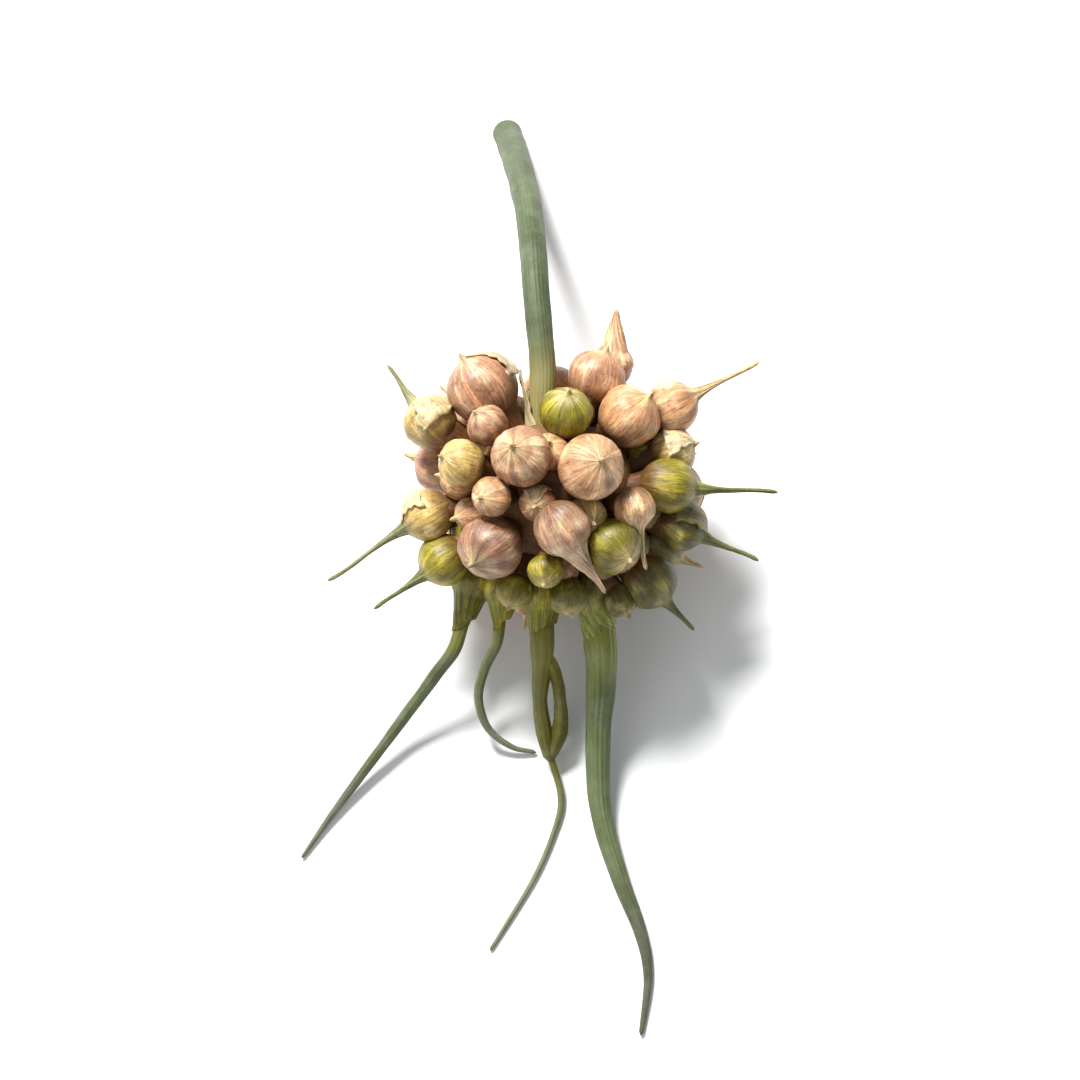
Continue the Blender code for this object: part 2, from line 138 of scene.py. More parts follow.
# Sprouted leaves: the bulbil that each grows from (across, along, out and radius), its route
# (x, y and height) and its radius at each point of the route. The branch is a second strand.
LEAVES = {
    "leaf_broad": Leaf(
        (6.2, -14.6, 0.5, 3.7),
        ((6.9, -22.0, 13.4), (7.0, -26.6, 9.8), (6.6, -33.3, 5.6), (6.9, -43.7, 2.5),
         (9.6, -53.6, 1.6), (12.7, -62.0, 1.1), (13.8, -68.7, 0.75), (12.8, -76.9, 0.5)),
        (2.4, 2.15, 1.85, 1.6, 1.3, 0.95, 0.65, 0.35),
    ),
    "leaf_sheathed": Leaf(
        (-1.6, -14.6, 1.0, 3.4),
        ((-1.7, -21.4, 12.6), (-1.7, -24.2, 10.2), (-2.0, -28.4, 7.2), (-1.4, -32.5, 4.6),
         (-0.5, -35.6, 2.4), (1.1, -41.5, 1.0), (0.2, -46.5, 0.6), (-3.0, -54.1, 0.5),
         (-9.1, -64.4, 0.4)),
        (1.8, 1.5, 1.05, 1.22, 1.05, 0.5, 0.42, 0.38, 0.28),
        ((-1.2, -22.8, 11.6), (0.3, -25.2, 9.6), (1.0, -28.6, 7.2), (0.9, -32.6, 4.6),
         (-0.5, -35.9, 2.3)),
    ),
    "leaf_curled": Leaf(
        (-7.2, -14.4, 1.0, 3.0),
        ((-8.2, -20.6, 13.0), (-10.1, -24.0, 9.4), (-11.1, -27.9, 6.4), (-9.7, -31.7, 3.4),
         (-6.3, -34.0, 1.4), (-3.0, -34.6, 0.55)),
        (0.95, 0.85, 0.75, 0.65, 0.5, 0.35),
    ),
    "leaf_left": Leaf(
        (-11.6, -13.0, -2.0, 3.4),
        ((-14.2, -20.6, 11.4), (-17.6, -25.0, 8.0), (-22.4, -30.7, 4.4), (-29.0, -39.2, 1.8),
         (-33.3, -45.0, 0.9), (-37.0, -50.5, 0.5)),
        (1.2, 1.1, 1.0, 0.8, 0.55, 0.3),
    ),
}

# The stalk inside the head (across, along and out), and the piece that was cut with it (x, y and
# height).
NECK_ROUTE = ((-1.6, 3.0, 0.0), (-1.9, 8.0, 2.0), (-1.7, 13.0, 3.6), (-1.6, 18.0, 4.2))
SCAPE_ROUTE = ((-2.5, 26.0, 30.8), (-3.0, 34.0, 29.0), (-3.7, 43.0, 23.4), (-4.9, 52.0, 15.0),
               (-6.2, 60.0, 6.4), (-7.1, 64.6, 1.75))

# Fine bulbils
SIDES = 44
BODY_RINGS = 21
BEAK_RING_STEP = 0.45 * MM
FIRST_LEVEL = -0.985  # level of the first ring of the body, in radii
LAST_LEVEL = 0.92  # and of the last, past which the beak's rings follow
SHOULDER = 0.9  # the level past which a beak wrinkles, turns and droops
SQUASH = (0.92, 1.0)  # how much flatter a bulbil may be one way
TWIST = 1.6  # the furthest that a beak is twisted, in radians
DROOP = 0.10  # how far a beak bends, for each radius of its length past DROOP_FROM
DROOP_FROM = 1.2
PLEATS = (11, 16)  # the range of their number
LUMP = 0.06  # depth of the broad lumps, in radii
PLEAT = 0.035  # depth of the pleats where the skin is gathered into the beak, in widths
BEAK_PLEAT = 0.22  # and on the beak itself
NECK_PLEAT = 0.06  # and on the neck under a leaf
BLUNT = 0.16  # a beak draws in over this last stretch, in radii
BEAK_DRAWN_IN = 0.7  # by this share of its width
NECK_DRAWN_IN = 0.05  # and a neck

# Torn outer skins
LOOSE_SHOWN = (2, 5, 8, 12, 14, 17)  # the shown bulbils that have one
LOOSE_EVERY = 3  # and one in so many of the others
LOOSE_GRID = (16, 20)  # rows and columns
LOOSE_SPREAD = (1.5, 2.6)  # how far round the bulbil it goes, in radians
LOOSE_LOW = (-0.45, 0.0)  # the range of levels for its lower edge
LOOSE_TOP = 1.02  # level of its upper one
LOOSE_LIFT = 0.022  # how far it lies off the skin, in radii
LOOSE_CURL = 0.09  # and how much further at its edges
LOOSE_THICK = 0.12 * MM

# Shown bulbils whose skin is lighter or darker than the rest: factors on red, green and blue.
# Number 18, low on the head, is darkened as painted shade.
TINTS_AND_SHADE = {
    2: (0.84, 0.86, 0.88),
    4: (0.82, 0.86, 0.80),
    6: (0.84, 0.86, 0.86),
    7: (0.95, 0.93, 0.92),
    10: (0.80, 0.82, 0.82),
    11: (0.84, 0.84, 0.86),
    15: (1.10, 1.20, 1.30),
    16: (1.08, 1.30, 1.46),
    18: (0.54, 0.55, 0.58),
}

# A husk is drawn out from the shoulder to the tip. Its level and width at the shoulder are in
# radii, and its taper says how hollow its outline is, on a neck and on two shown bulbils.
HUSK_FROM = 0.5
HUSK_WIDTH = 0.80
NECK_TAPER = 1.3
HUSK_TAPERS = {0: 1.3, 16: 2.3}
SLANT = 0.55  # how much lower a neck's edge is on one side than on the other, in radii

# Fine leaves
ROUTE_STEPS = 12  # between two points of a route
SHEATHED = 3.2 * MM  # how far a leaf runs back into the neck of its bulbil
SHEATHED_WIDTH = 0.94  # and how wide it is there, of its width outside
TIP_REACH = 1.5  # how far a leaf's last point is past its route, in radii
TIP_WIDTH = 0.25  # and how wide it is there
LEAF_RIBS = {"leaf_broad": 15, "leaf_sheathed": 9, "leaf_curled": 7, "leaf_left": 8}
LEAF_RIB = 0.035  # depth of a leaf's ribs, in radii
LEAF_RIB_SIDES = 6  # sides for each rib
SLIM = {"leaf_left": 0.86, "leaf_curled": 0.88}  # dry leaves that are slimmer than their solids

# Past its slit, the sheathed sprout's two strands are one sheath, and their radii are 0.05 to
# 0.42 mm more than in the CAD model. The sheath ends bluntly at this point of the route, and the
# thread comes out. The values after it are those of the second strand.
SHEATH_END = 4
BLUNT_FALL = 6  # how much faster than elsewhere the radius falls there
STRAND_RADII = (1.0, 0.95, 0.90, 1.22, 0.80)
STRAND_SIDES = 28
STRAND_RIBS = 5
STRAND_RIB = 0.05

# Fine stalk, with ribs whose depth is in radii
STALK_SIDES = 96
STALK_RIBS = 22
STALK_RIB = 0.016
LUMEN_SIDES = 48
LUMEN_RIBS = 7
LUMEN_RIB = 0.02
LUMEN_RINGS = 26

# The stalk's cut face: how far in it is across the wall, and how far it stands out, in mm
CUT_PROFILE = ((0.0, 0.0), (0.12, 0.10), (0.5, 0.16), (0.88, 0.08), (1.0, 0.0))

# Colours, as 0-255 values on a screen: the skin, its darker veins and its paler flecks
SKINS = {
    "rosy": ((182, 134, 100), (108, 66, 46), (222, 187, 148)),
    "tan": ((196, 150, 108), (130, 84, 52), (230, 200, 158)),
    "straw": ((188, 160, 94), (128, 98, 42), (220, 200, 146)),
    "olive": ((136, 126, 28), (76, 68, 12), (168, 152, 64)),
}
MOSS_AND_SHADE = ((92, 88, 32), (44, 41, 14), (150, 142, 80))  # the bulbils low on the right: greener, and darker as painted shade
FOOT_SHADE = (90, 58, 30)  # painted shade, deep between the bulbils and on their feet
SHADES = (0.88, 1.12)  # how much darker or lighter a bulbil's skin may be than its kind
AGED = (0.3, 0.75)  # how strongly its veins show
VEINED = 0.36  # the share of a skin that is vein
VEIN_CONTRAST = 1.25
FLECKED = 0.7  # strength of the pale flecks
BLOTCHED = 0.45  # and of the dark blotches
BEAK_SKIN = 0.35  # the most of the skin's colour that a beak keeps
BEAK_DRIES = (0.72, 1.12)  # levels between which the skin turns to the beak's colour
NECK_DRIES = (0.1, 0.9)  # and to a neck's
FOOT_SHADE_SHARE = 0.85  # how far the inner side of the skin turns to the foot's painted shade
BEAKS = {
    "rosy": (206, 164, 130),
    "tan": (206, 180, 132),
    "straw": (126, 128, 88),
    "olive": (108, 116, 72),
}
# Painted shade for the receptacle in the gaps between the bulbils: a dark and a warmer brown
CORE_SHADE_DARK = (88, 58, 34)
CORE_SHADE_WARM = (128, 90, 50)
PAPER = (226, 204, 164)
BRACT_PAPER = (210, 190, 146)
NECKS = {  # the necks that the leaves come out of
    "leaf_broad": (142, 146, 70),
    "leaf_sheathed": (114, 112, 2),
    "leaf_curled": (116, 112, 2),
    "leaf_left": (108, 104, 2),
}

# Each leaf's colour low down, half way and at its tip, and where along it they lie
LEAF_COLOURS = {
    "leaf_broad": ((134, 138, 62), (80, 90, 54), (72, 74, 56), 0.20, 0.55),
    "leaf_sheathed": ((120, 114, 32), (88, 84, 28), (98, 102, 74), 0.30, 0.44),
    "leaf_curled": ((110, 108, 40), (86, 92, 56), (104, 108, 86), 0.25, 0.50),
    "leaf_left": ((114, 114, 44), (74, 80, 50), (84, 86, 68), 0.20, 0.55),
}
STRAND_TURNS = (0.3, 0.6)  # where along the sheathed sprout's second strand they lie
# The stalk's green and its paler mottle are darker than its own colour, as painted shade
SHADED_SCAPE_GREEN = (57, 67, 40)
SHADED_SCAPE_PALE = (74, 84, 56)
SCAPE_FOOT = (150, 138, 84)
STRAW_FOOT = (0.10, 0.30)  # where along the stalk its foot's colour fades
CUT = (158, 166, 118)


def linear(colour):
    """A screen colour of 0-255 values as linear values."""
    return np.array([(c / 255) ** 2.2 for c in colour])


def blend(one, two, share):
    """A colour that is the given share of the way from one to the other."""
    return one * (1 - share) + two * share


def ramp(value, start, end):
    """How far a value is from start to end, kept between 0 and 1 and eased at both ends."""
    share = min(1.0, max(0.0, (value - start) / (end - start)))
    return share * share * (3 - 2 * share)


# Places in the head, as in the CAD model


def face_axes():
    """The head's across, along and out axes in the world."""
    return (
        Vector((1, 0, 0)),
        Vector((0, math.cos(FACE_LEAN), math.sin(FACE_LEAN))),
        Vector((0, -math.sin(FACE_LEAN), math.cos(FACE_LEAN))),
    )


def in_world(place):
    """World place of a point in the head's own frame."""
    x, y, z = face_axes()
    return Vector((0, 0, HEAD_HEIGHT)) + x * place.x + y * place.y + z * place.z


def egg_share(place, egg=SHELL):
    """How far out a point lies from the centre of an egg, as a share of the way to its skin."""
    return math.sqrt(sum((place[i] / egg[i]) ** 2 for i in range(3)))


class Placed:
    """A bulbil in its place in the head's own frame."""

    def __init__(self, place, radius, beak=SHORT_BEAK, tip=None, leaf=None, skin=None):
        self.place = place
        self.radius = radius
        self.beak = beak
        self.tip = tip
        self.leaf = leaf
        self.skin = skin

    def gap_share(self, place, radius):
        """Distance to another bulbil, as a share of the two radii."""
        return (self.place - place).length / (self.radius + radius)


def shown_bulbils():
    """The bulbils on the side that is seen best, set on the egg."""
    placed = []
    for item in SHOWN:
        place = Vector((item.across, item.along, 0)) * MM
        left = 1 - egg_share(place) ** 2
        place.z = max(RIM_OUT, SHELL.z * math.sqrt(max(0.0, left)))
        if item.out is not None:
            place.z = item.out * MM
        tip = Vector(item.tip) * MM if item.tip else None
        placed.append(Placed(place, item.radius * MM, tip=tip, skin=item.skin))
    return placed


def sprouted_bulbils():
    """The bulbils that have a leaf."""
    placed = []
    for leaf in LEAVES.values():
        place = Vector(leaf.bulbil[:3]) * MM
        placed.append(Placed(place, leaf.bulbil[3] * MM, leaf=leaf, skin="olive"))
    return placed


def resting_bulbil():
    """The lowest bulbil, straight under the head's centre."""
    down = Vector((0, -math.sin(FACE_LEAN), -math.cos(FACE_LEAN)))
    return Placed(down * SHELL.z, REST_RADIUS, beak=REST_BEAK, skin="tan")


def spiral_bulbils(spiral, taken, rng):
    """Bulbils on the free stations of a spiral."""
    placed = []
    for k in range(spiral.count):
        height = 1 - 2 * (k + 0.5) / spiral.count
        ring = math.sqrt(1 - height * height)
        turn = k * GOLDEN_ANGLE
        place = Vector((ring * math.cos(turn), height, ring * math.sin(turn)))
        place *= spiral.shell / egg_share(place)
        radius = rng.uniform(*spiral.radius)
        beak = rng.uniform(*spiral.beak)
        skin = rng.choice(SKIN_DRAW)
        from_stalk = math.hypot(place.x - STALK_PLACE[0], place.z - STALK_PLACE[1])
        on_stalk = place.y > 0 and from_stalk < radius + SCAPE_RADIUS
        free = all(other.gap_share(place, radius) > spiral.clear for other in taken + placed)
        if free and not on_stalk:
            placed.append(Placed(place, radius, beak, skin=skin))
    return placed


def press_apart(moving, fixed):
    """Push the moving bulbils over the egg until they only press on their neighbours."""
    for _ in range(RELAX_ROUNDS):
        for one in moving:
            push = Vector()
            for other in fixed + moving:
                away = one.place - other.place
                short = PRESS * (one.radius + other.radius) - away.length
                if other is not one and short > 0:
                    push += away.normalized() * short * 0.5
            one.place = one.place + push
            one.place /= egg_share(one.place)


def all_bulbils():
    """Every bulbil of the head."""
    rng = random.Random(SEED)
    fixed = shown_bulbils() + sprouted_bulbils() + [resting_bulbil()]
    outer = spiral_bulbils(OUTER_SPIRAL, fixed, rng)
    press_apart(outer, fixed)
    return fixed + outer + spiral_bulbils(INNER_SPIRAL, fixed + outer, rng)


def bulbil_pose(bulbil):
    """Centre, heading, beak length in radii, and tip radius of a bulbil in the world."""
    centre = in_world(bulbil.place)
    heading = (centre - Vector((0, 0, HEAD_HEIGHT))).normalized()
    beak, tip = bulbil.beak, BEAK_TIP
    low = centre.z - bulbil.radius
    if bulbil.leaf:
        start = Vector(bulbil.leaf.route[0]) * MM
        reach = (start - centre).length - START_STRAIGHT - GAP
        heading = (start - centre).normalized()
        beak = reach / bulbil.radius
        tip = bulbil.leaf.radii[0] * MM
    elif bulbil.tip:
        reach = in_world(bulbil.tip) - centre
        heading = reach.normalized()
        beak = reach.length / bulbil.radius
    elif low < SETTLE_REACH and heading.z < SETTLED_HEADING:
        centre.z -= low + PRESSED_FLAT
        beak = min(beak, SETTLED_BEAK)
    return centre, heading, beak, tip


# Fine bulbils


def bulbil_width(level, beak, tip):
    """Radius of a bulbil at a level of its axis; all in units of its own radius."""
    body = math.sqrt(max(0.0, 1 - level * level))
    if level <= 0:
        return body
    left = min(1.0, (beak - level) / (beak - BEAK_FROM))
    sharpness = BEAK_TAPER[0] + BEAK_TAPER[1] * beak
    spine = tip + (BEAK_WIDTH - tip) * max(0.0, left) ** sharpness
    return (body**3 + spine**3) ** (1 / 3)


def fine_levels(radius, beak):
    """Ring levels of a fine bulbil, closest together over the shoulder and the beak."""
    eased = [0.5 - 0.5 * math.cos(math.pi * i / (BODY_RINGS - 1)) for i in range(BODY_RINGS)]
    body = [FIRST_LEVEL + (LAST_LEVEL - FIRST_LEVEL) * share for share in eased]
    reach = beak - LAST_LEVEL
    count = max(4, round(reach * radius / BEAK_RING_STEP))
    return [*body, *(LAST_LEVEL + reach * (i + 1) / count for i in range(count))]


def moss_and_shade(place):
    """How far a bulbil is on the side of the head low on the right, which is greener and darker
    with painted shade.
    """
    return ramp(place.x - 1.2 * place.y, 11 * MM, 26 * MM)


class FineBulbil:
    """A bulbil's fine form and colours, with the random draws that make it differ from others."""

    def __init__(self, bulbil, rng, taper=None, tint_and_shade=(1, 1, 1)):
        self.centre, heading, self.beak, tip = bulbil_pose(bulbil)
        self.radius = bulbil.radius
        self.tip = tip / bulbil.radius
        self.turned = heading.to_track_quat("Z", "Y")
        self.shift = Vector((rng.uniform(0, 50), rng.uniform(0, 50), rng.uniform(0, 50)))
        self.pleats = rng.randint(*PLEATS)
        self.squash = rng.uniform(*SQUASH)
        self.curl = Vector((rng.uniform(-1, 1), rng.uniform(-1, 1), 0))
        self.twist = rng.uniform(-TWIST, TWIST)
        self.leafy = bulbil.leaf is not None
        self.taper = NECK_TAPER if self.leafy else taper
        self.droop = 0.0 if self.leafy else DROOP * max(0.0, self.beak - DROOP_FROM)
        # Low on the right the skin turns greener, and darker as painted shade
        self.moss_shade = moss_and_shade(bulbil.place)
        own = SKINS[bulbil.skin]
        self.skin, self.vein, self.fleck = (
            blend(linear(own[i]), linear(MOSS_AND_SHADE[i]), self.moss_shade) * rng.uniform(*SHADES) * tint_and_shade
            for i in range(3))
        self.aged = rng.uniform(*AGED)
        self.dry = linear(BEAKS["tan" if bulbil.tip is None else bulbil.skin])
        self.dry = blend(self.dry * tint_and_shade, self.skin, BEAK_SKIN * rng.random())
        # The feet and the inner side of the skin are coloured in painted shade
        self.foot = linear(FOOT_SHADE)
        if self.leafy:
            name = next(name for name, leaf in LEAVES.items() if leaf is bulbil.leaf)
            self.dry = linear(NECKS[name])
            self.foot = blend(self.foot, self.dry, 0.25)

    def width(self, level):
        """The skin's radius at a level of the axis, in the bulbil's own radii."""
        width = bulbil_width(level, self.beak, self.tip)
        if self.taper and level > HUSK_FROM:
            left = max(0.0, self.beak - level) / (self.beak - HUSK_FROM)
            width = max(width, self.tip + (HUSK_WIDTH - self.tip) * left**self.taper)
        drawn_in = NECK_DRAWN_IN if self.leafy else BEAK_DRAWN_IN
        return width * (1 - drawn_in * ramp(level, self.beak - BLUNT, self.beak))

    def spot(self, level, turn):
        """The place on the bulbil where its noises are read."""
        width = self.width(level)
        return Vector((math.cos(turn) * width, math.sin(turn) * width, level))

    def point(self, level, turn, lift=0.0):
        """A point of the skin, or lifted off it, at a level of the axis and a turn round it."""
        width = self.width(level)
        beyond = max(0.0, level - SHOULDER) / max(0.05, self.beak - SHOULDER)
        spot = self.spot(level, turn)
        lump = noise.noise(spot * 1.1 + self.shift) * LUMP * (1 - min(1.0, beyond * 1.5))
        bent = self.pleats * turn + 2.6 * noise.noise(spot * 1.4 + self.shift)
        deep = NECK_PLEAT if self.leafy else BEAK_PLEAT
        gathered = PLEAT * ramp(level, 0.1, 1.0) + (deep - PLEAT) * ramp(beyond, 0.0, 0.5)
        wide = width * (1 + lump + gathered * math.sin(bent)) + lift
        if self.leafy:
            ragged = 1 + math.cos(turn) + 0.5 * noise.noise(spot * 4 + self.shift)
            level -= SLANT * ragged / 2 * ramp(beyond, 0.4, 1.0)
            wide -= 0.5 * (self.width(level) - self.tip) * ramp(beyond, 0.5, 1.0)
        turn += self.twist * beyond
        local = Vector((math.cos(turn) * wide, math.sin(turn) * wide * self.squash,
                        level + lift * level))
        sway = self.droop * beyond**2 * (1 + 1.2 * math.sin(3 * beyond))
        return self.centre + self.turned @ (local + self.curl * sway) * self.radius

    def colour(self, level, turn):
        """The skin's colour there: veins, flecks, the beak, and painted shade on the side towards
        the foot.
        """
        spot = self.spot(level, turn)
        lines = Vector((math.cos(turn) * 4.2, math.sin(turn) * 4.2, level * 0.7)) + self.shift
        streak = min(1.0, max(0.0, VEINED + VEIN_CONTRAST * noise.noise(lines)))
        colour = blend(self.skin, self.vein, self.aged * streak)
        pale = ramp(noise.noise(spot * 1.9 + self.shift * 1.7), 0.02, 0.5)
        colour = blend(colour, self.fleck, FLECKED * pale)
        blotch = ramp(noise.noise(spot * 2.6 - self.shift), 0.12, 0.55)
        colour = blend(colour, self.vein, BLOTCHED * blotch)
        dry = self.dry * (1.25 - 0.75 * streak)
        colour = blend(colour, dry, ramp(level, *(NECK_DRIES if self.leafy else BEAK_DRIES)))
        # Painted shade on the side that faces into the head
        return blend(colour, self.foot, FOOT_SHADE_SHARE * ramp(-level, 0.05, 0.85))

    def vein_place(self, level, turn):
        """Coordinates that run along the bulbil's veins, for its material."""
        return math.cos(turn) * 2.2, math.sin(turn) * 2.2, level * 0.30 + self.shift.x

    def add_skin(self, shape):
        """The skin from the pole at the foot to the tip of the beak."""
        levels = fine_levels(self.radius, self.beak)
        turns = [2 * math.pi * k / SIDES for k in range(SIDES)]
        places = [(level, turn) for level in levels for turn in turns]
        points = [self.point(*place) for place in places]
        colours = [self.colour(*place) for place in places]
        veins = [self.vein_place(*place) for place in places]
        faces = ring_faces(len(levels), SIDES)
        for first, order in ((0, -1), (len(points) - SIDES, 1)):
            pole = len(points)
            points.append(sum((points[first + k] for k in range(SIDES)), Vector()) / SIDES)
            colours.append(colours[first])
            veins.append(veins[first])
            faces.extend((first + k, first + (k + 1) % SIDES, pole)[::order] for k in range(SIDES))
        shape.add(points, faces, colours, veins)

    def add_foot(self, shape, bulbil):
        """The short stem from the bulbil into the receptacle, coloured in painted shade."""
        inward = Vector((0, 0, HEAD_HEIGHT)) - self.centre
        reach = inward.length * (1 - 1 / egg_share(bulbil.place, CORE)) + FOOT_SINK
        inward.normalize()
        start = min(FOOT_FROM * self.radius, reach / 2)
        route = []
        for i in range(FOOT_RINGS):
            share = i / (FOOT_RINGS - 1)
            along = start + (reach - start) * share
            width = self.radius * (FOOT_WIDTH + FOOT_FLARE * (1 - share) ** 2)
            route.append((self.centre + inward * along, width))
        add_tube(shape, route, lambda share, turn: self.foot, FOOT_SIDES, FOOT_RIBS, FOOT_RIB,
                 seed=self.shift.y)


def add_loose_skin(shape, fine, rng):
    """A torn piece of dry outer skin that still holds at the beak and lifts at its edges."""
    rows, columns = LOOSE_GRID
    start = rng.uniform(0, 2 * math.pi)
    spread = rng.uniform(*LOOSE_SPREAD)
    low = rng.uniform(*LOOSE_LOW)
    paper = blend(linear(PAPER), fine.skin, rng.uniform(0.25, 0.55))
    # and takes the painted shade low on the right
    paper = blend(paper, fine.skin, 0.7 * fine.moss_shade)
    grid, colours = [], []
    for i in range(rows + 1):
        up = i / rows
        row, tints = [], []
        for j in range(columns + 1):
            across = j / columns
            torn = noise.noise(Vector((across * 5, up * 4, start)))
            level = low + 0.22 * torn * (1 - up) + (LOOSE_TOP - low) * up
            narrow = 1 - 0.35 * up + 0.22 * noise.noise(Vector((up * 5, start, across)))
            turn = start + spread * (across - 0.5) * narrow
            edge = max(ramp(abs(across - 0.5), 0.30, 0.5), 1 - ramp(up, 0.0, 0.25))
            lift = LOOSE_LIFT + LOOSE_CURL * edge * ramp(1 - up, 0.0, 0.7)
            row.append((fine.point(level, turn, lift), fine.point(level, turn, lift + 0.02)))
            ripple = 0.85 + 0.5 * noise.noise(Vector((turn * 6, level, start)))
            tints.append(paper * ripple)
        grid.append([(place, (above - place).normalized()) for place, above in row])
        colours.append(tints)
    add_sheet(shape, grid, colours, LOOSE_THICK)


def ring_faces(rings, sides):
    """Four-sided faces between rings of points that follow each other."""
    faces = []
    for ring in range(rings - 1):
        a, b = ring * sides, (ring + 1) * sides
        for k in range(sides):
            n = (k + 1) % sides
            faces.append((a + k, a + n, b + n, b + k))
    return faces


def add_sheet(shape, grid, colours, thickness):
    """A thin closed sheet over rows of (point, normal)."""
    rows, columns = len(grid), len(grid[0])
    size = rows * columns
    points, tints, veins = [], [], []
    for side in (0.5, -0.5):
        for i, row in enumerate(grid):
            for j, (point, normal) in enumerate(row):
                points.append(point + normal * side * thickness)
                tints.append(colours[i][j])
                veins.append((j * 0.3, side, i * 0.05))
    faces = []
    for i in range(rows - 1):
        for j in range(columns - 1):
            a = i * columns + j
            b = a + size
            faces.append((a, a + 1, a + columns + 1, a + columns))
            faces.append((b, b + columns, b + columns + 1, b + 1))
    last = rows * columns - 1
    rim = [*range(columns - 1), *range(columns - 1, last, columns),
           *range(last, last - columns + 1, -1), *range(last - columns + 1, 0, -columns)]
    for a, b in zip(rim, rim[1:] + rim[:1]):
        faces.append((b, a, a + size, b + size))
    shape.add(points, faces, tints, veins)


class Shape:
    """Points, faces and per-point values gathered for one piece."""

    def __init__(self):
        self.points, self.faces, self.colours, self.veins = [], [], [], []

    def add(self, points, faces, colours, veins):
        """Add points with their values, and faces that number those points from 0."""
        base = len(self.points)
        self.points.extend(points)
        self.faces.extend(tuple(base + i for i in face) for face in faces)
        self.colours.extend(colours)
        self.veins.extend(veins)

    def make(self, name, skin):
        """The piece as a smooth mesh object, on the surface, with its colours and veins."""
        mesh = bpy.data.meshes.new(name)
        rested = [(p.x, p.y, max(p.z, 0.0)) for p in self.points]
        mesh.from_pydata(rested, [], self.faces)
        colour = mesh.attributes.new("skin_colour", "FLOAT_COLOR", "POINT")
        values = np.ones((len(self.points), 4), np.float32)
        values[:, :3] = np.clip(np.array(self.colours), 0, 1)
        colour.data.foreach_set("color", values.ravel())
        vein = mesh.attributes.new("vein_place", "FLOAT_VECTOR", "POINT")
        vein.data.foreach_set("vector", np.array(self.veins, np.float32).ravel())
        mesh.shade_smooth()
        mesh.materials.append(skin)
        made = bpy.data.objects.new(name, mesh)
        bpy.context.scene.collection.objects.link(made)
        return made


# Routes and tubes


def smooth_route(points, radii, heading=None, blunt=None):
    """Points and radii read from a smooth curve through the route's own points.

    Past the point numbered blunt, the radius falls at once.
    """
    places = [Vector(p) for p in points]
    ends = [places[0] * 2 - places[1], *places, places[-1] * 2 - places[-2]]
    route = []
    if heading:
        reach = (places[1] - places[0]).length
        ends[0] = places[1] - heading * 2 * reach
        route.append((places[0] - heading * START_STRAIGHT, radii[0]))
    for i in range(len(places) - 1):
        a, b, c, d = ends[i : i + 4]
        for step in range(ROUTE_STEPS):
            t = step / ROUTE_STEPS
            bend = (2 * a - 5 * b + 4 * c - d) * t**2 + (3 * b - a - 3 * c + d) * t**3
            point = 0.5 * (2 * b + (c - a) * t + bend)
            share = min(1.0, t * BLUNT_FALL) if i == blunt else t
            route.append((point, radii[i] + (radii[i + 1] - radii[i]) * share))
    route.append((places[-1], radii[-1]))
    return route


def tube_frames(route):
    """Centre, radius, side axes and share of the length at each point of a route."""
    places = [place for place, _ in route]
    lengths = [0.0]
    for one, two in zip(places, places[1:]):
        lengths.append(lengths[-1] + (two - one).length)
    side = Vector((1, 0, 0))
    frames = []
    for i, (place, radius) in enumerate(route):
        ahead = places[min(i + 1, len(places) - 1)] - places[max(i - 1, 0)]
        ahead.normalize()
        side = (side - ahead * side.dot(ahead)).normalized()
        up = ahead.cross(side)
        frames.append((place, radius, side.copy(), up, lengths[i] / lengths[-1]))
    return frames


def add_tube(shape, route, colour_at, sides, ribs, rib, seed=0.0, cap=True):
    """A ribbed tube along a route. colour_at gives the colour at a share of its length."""
    points, colours, veins = [], [], []
    frames = tube_frames(route)
    length = sum((b[0] - a[0]).length for a, b in zip(route, route[1:]))
    for place, radius, side, up, share in frames:
        for k in range(sides):
            turn = 2 * math.pi * k / sides
            wave = math.sin(ribs * turn + 2 * noise.noise(Vector((share * 6, seed, 0)))) * rib
            wave += 0.06 * noise.noise(Vector((math.cos(turn), math.sin(turn), share * 14 + seed)))
            ray = side * math.cos(turn) + up * math.sin(turn)
            points.append(place + ray * radius * (1 + wave))
            colours.append(colour_at(share, turn))
            veins.append((math.cos(turn) * 2.5, math.sin(turn) * 2.5, share * length * 60 + seed))
    faces = ring_faces(len(frames), sides)
    if cap:
        for ring, order in ((0, -1), (len(frames) - 1, 1)):
            base = ring * sides
            faces.append(tuple(base + k for k in range(sides))[::order])
    shape.add(points, faces, colours, veins)


# Materials

SCATTER_REACH = (0.6, 0.35, 0.15)  # how far red, green and blue light spread in the flesh
SCATTER_SCALE = 1.2 * MM
COAT_ROUGHNESS = 0.3
PATCH_LIGHTER = (1.55, 1.50, 1.42)  # a papery patch, as factors on the skin's colour
VEIN_DARKER = (0.52, 0.34, 0.24)  # and a thin vein or a speck
BLOOM = (0.23, 0.26, 0.18)  # linear colour of the waxy bloom
LEAF_SPECK = (0.14, 0.13, 0.05)


